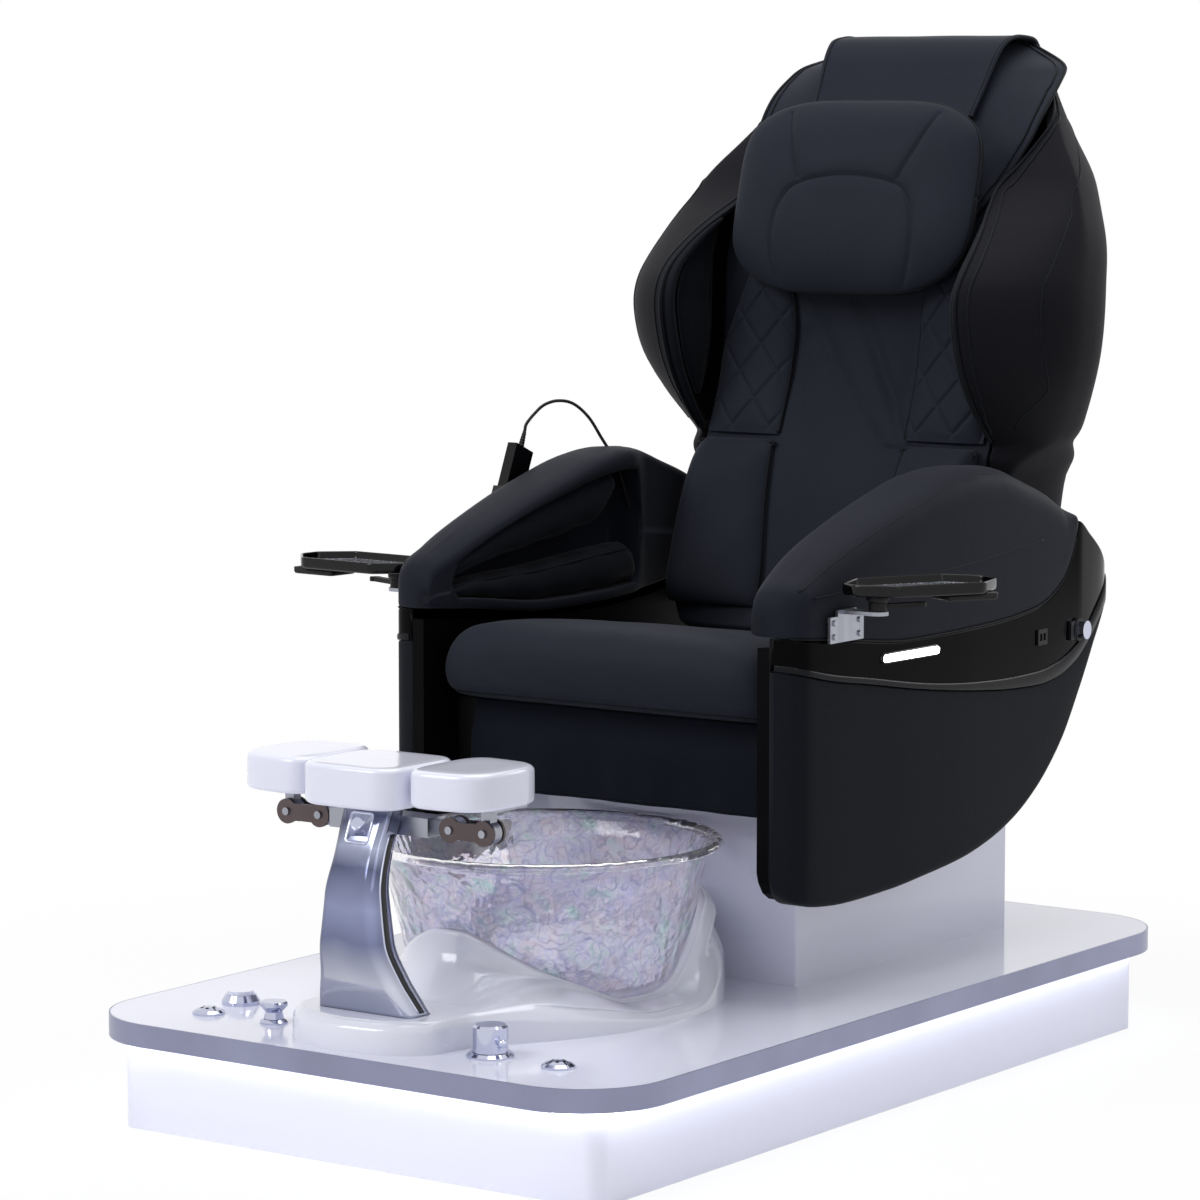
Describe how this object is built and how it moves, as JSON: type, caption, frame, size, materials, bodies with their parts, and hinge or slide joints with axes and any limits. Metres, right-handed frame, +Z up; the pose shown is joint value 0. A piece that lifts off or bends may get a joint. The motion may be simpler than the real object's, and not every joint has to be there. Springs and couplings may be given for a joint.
{
  "type": "pedicure spa chair",
  "caption": "Reclining massage chair with padded arms and shoulder wings, sliding on a pedestal over a lit platform with a glass foot bowl, footrest and swing-out trays.",
  "frame": {"origin": "centre of the plinth's underside, on the floor", "axes": "+Z up; the chair faces -Y, towards the footrest; +X is the sitter's left hand"},
  "size_m": [1.0695, 1.4646, 1.413],
  "materials": {
    "plinth_white": "satin white lacquer",
    "deck_white": "high gloss",
    "band_metal": "satin",
    "led_glow": "lit strip",
    "bowl_glass": "hammered clear glass with an iridescent film",
    "chrome_metal": "polished",
    "inlay_black": "gloss",
    "rest_white": "gloss",
    "steel": "brushed",
    "link_brown": "satin",
    "valve_brass": "cast",
    "pump_grey": "matte",
    "box_grey": "matte",
    "frame_black": "powder coat",
    "leather_black": "soft synthetic leather",
    "panel_black": "synthetic leather over a moulded panel",
    "board_black": "black laminate",
    "trim_black": "piano black",
    "light_white": "lit diffuser",
    "switch_black": "matte",
    "tray_black": "gloss",
    "holder_black": "matte",
    "handset_black": "satin",
    "cable_rubber": "matte",
    "roller_cream": "matte"
  },
  "bodies": {
    "base": {"plinth_box": "plinth_white", "deck_board": "deck_white", "edge_band": "band_metal", "led_strip": "led_glow", "bowl_base": "deck_white", "glass_bowl": "bowl_glass", "bowl_drain": "chrome_metal", "foot_stand": "chrome_metal", "stand_inlays": "inlay_black", "footrest_centre": "rest_white", "foot_brackets": "steel", "drain_grilles": "chrome_metal", "fitting_bases": "chrome_metal", "valve_bodies": "valve_brass", "drain_pump": "pump_grey", "pedestal_box": "plinth_white", "control_box": "box_grey", "slide_rails": "steel"},
    "button": {"button_cap": "rest_white"},
    "diverter": {"diverter_knob": "chrome_metal"},
    "mixer": {"mixer_handle": "chrome_metal"},
    "link_left": {"foot_link_left": "link_brown"},
    "link_right": {"foot_link_right": "link_brown"},
    "pad_left": {"pad_bracket_left": "steel", "foot_pad_left": "rest_white"},
    "pad_right": {"pad_bracket_right": "steel", "foot_pad_right": "rest_white"},
    "chair": {"slide_carriage": "frame_black", "seat_frame": "frame_black", "seat_cushion": "leather_black", "front_skirt": "leather_black", "side_boards": "board_black", "side_panels": "panel_black", "side_trims": "trim_black", "armrests": "leather_black", "arm_airbags": "leather_black", "light_bars": "light_white", "switch_panel": "switch_black", "tray_brackets": "steel", "actuator_body": "pump_grey", "remote_holder": "holder_black", "handset": "handset_black", "cable_relief": "cable_rubber", "handset_cable": "cable_rubber"},
    "dial": {"dial_knob": "chrome_metal"},
    "swing_tray_left": {"tray_left": "tray_black"},
    "swing_tray_right": {"tray_right": "tray_black"},
    "lever_left": {"tray_lever_left": "steel"},
    "lever_right": {"tray_lever_right": "steel"},
    "rod": {"actuator_rod": "steel"},
    "back": {"back_shell": "panel_black", "back_pad": "leather_black", "side_bolsters": "leather_black", "lumbar_pads": "leather_black", "wing_pads": "leather_black", "head_pillow": "leather_black", "top_flap": "leather_black", "back_frame": "frame_black"},
    "carriage": {"massage_carriage": "frame_black"},
    "rollers": {"massage_rollers": "roller_cream"}
  },
  "joints": [
    {"name": "seat_slide", "type": "slide", "parent": "base", "child": "chair", "axis": [0, 1, 0], "range_m": [0, 0.12]},
    {"name": "button_press", "type": "slide", "parent": "base", "child": "button", "axis": [0, 0, -1], "range_m": [0, 0.004], "stiffness_N_per_m": 600, "springref_m": -0.002},
    {"name": "diverter_turn", "type": "hinge", "parent": "base", "child": "diverter", "pos_m": [-0.173, -0.598, 0.15], "axis": [0, 0, 1], "range_deg": [-60, 60]},
    {"name": "mixer_turn", "type": "hinge", "parent": "base", "child": "mixer", "pos_m": [0.173, -0.598, 0.15], "axis": [0, 0, 1], "range_deg": [-45, 45]},
    {"name": "foot_link_left_turn", "type": "hinge", "parent": "base", "child": "link_left", "pos_m": [0.104, -0.577, 0.424], "axis": [0, 1, 0], "range_deg": [0, 45]},
    {"name": "foot_link_right_turn", "type": "hinge", "parent": "base", "child": "link_right", "pos_m": [-0.104, -0.577, 0.424], "axis": [0, -1, 0], "range_deg": [0, 45]},
    {"name": "foot_pad_left_turn", "type": "hinge", "parent": "link_left", "child": "pad_left", "pos_m": [0.156, -0.577, 0.424], "axis": [0, 1, 0], "range_deg": [0, 60]},
    {"name": "foot_pad_right_turn", "type": "hinge", "parent": "link_right", "child": "pad_right", "pos_m": [-0.156, -0.577, 0.424], "axis": [0, -1, 0], "range_deg": [0, 60]},
    {"name": "recline", "type": "hinge", "parent": "chair", "child": "back", "pos_m": [0, 0.44, 0.53], "axis": [-1, 0, 0], "range_deg": [0, 35]},
    {"name": "recline_rod_slide", "type": "slide", "parent": "chair", "child": "rod", "axis": [0, -1, 0], "range_m": [0, 0.0475]},
    {"name": "dial_turn", "type": "hinge", "parent": "chair", "child": "dial", "pos_m": [0.34437, 0.544, 0.582], "axis": [0.9978, 0.0665, 0], "range_deg": [-150, 150]},
    {"name": "tray_swing_left", "type": "hinge", "parent": "chair", "child": "swing_tray_left", "pos_m": [0.392, -0.058, 0.69], "axis": [0, 0, -1], "range_deg": [-30, 60]},
    {"name": "tray_swing_right", "type": "hinge", "parent": "chair", "child": "swing_tray_right", "pos_m": [-0.392, -0.058, 0.672], "axis": [0, 0, 1], "range_deg": [-86, 4]},
    {"name": "tray_clamp_left", "type": "hinge", "parent": "chair", "child": "lever_left", "pos_m": [0.392, -0.058, 0.67], "axis": [0, 0, -1], "range_deg": [0, 60]},
    {"name": "tray_clamp_right", "type": "hinge", "parent": "chair", "child": "lever_right", "pos_m": [-0.392, -0.058, 0.652], "axis": [0, 0, 1], "range_deg": [0, 60]},
    {"name": "massage_slide", "type": "slide", "parent": "back", "child": "carriage", "axis": [0, 0.342, 0.9397], "range_m": [-0.15, 0.12]},
    {"name": "roller_spin", "type": "hinge", "parent": "carriage", "child": "rollers", "pos_m": [0, 0.54535, 0.84284], "axis": [1, 0, 0], "continuous": true}
  ],
  "couplings": [
    {"joint": "recline_rod_slide", "follows": "recline", "m_per_rad": 0.0772}
  ]
}
